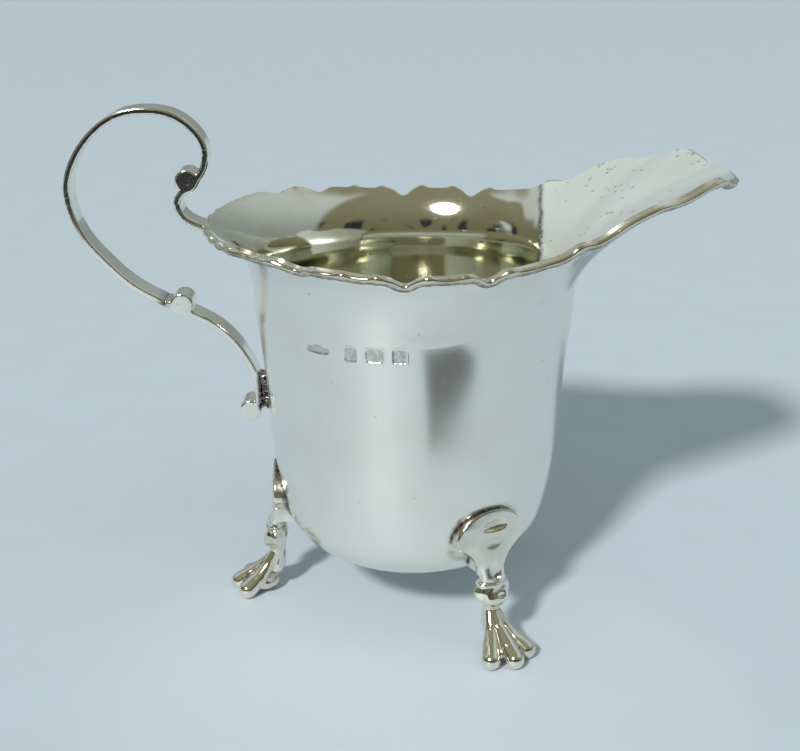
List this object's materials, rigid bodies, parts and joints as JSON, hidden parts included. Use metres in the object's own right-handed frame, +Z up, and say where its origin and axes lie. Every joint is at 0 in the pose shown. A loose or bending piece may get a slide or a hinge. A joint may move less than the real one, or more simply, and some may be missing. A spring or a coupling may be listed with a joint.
{
  "type": "cream jug",
  "caption": "Small silver cream jug: round-bottomed cup with scalloped rim, broad pouring lip, scroll strap handle and cast paw feet.",
  "frame": {"origin": "on the table, at the middle of the jug's bounding box seen from above; the cup's own axis is parallel to Z, 2.49 mm towards the lip", "axes": "+Z up, +X towards the lip, -X towards the handle, Y across the jug, which is its plane of symmetry's normal"},
  "size_m": [0.1264, 0.072, 0.1007],
  "materials": {
    "satin_silver": "sterling silver sheet, hand polished to a soft satin with fine scratches",
    "polished_silver": "sterling silver, bright polish with faint warm tarnish",
    "cast_silver": "cast sterling silver, bright polish worn on the high spots, tarnish in the hollows"
  },
  "bodies": {
    "root": {"body_cup": "satin_silver", "spout_lip": "satin_silver", "rim_wire": "polished_silver", "handle_upper_scroll": "polished_silver", "handle_lower_scroll": "polished_silver", "foot_under_handle": "cast_silver", "foot_front": "cast_silver", "foot_back": "cast_silver"}
  },
  "joints": []
}
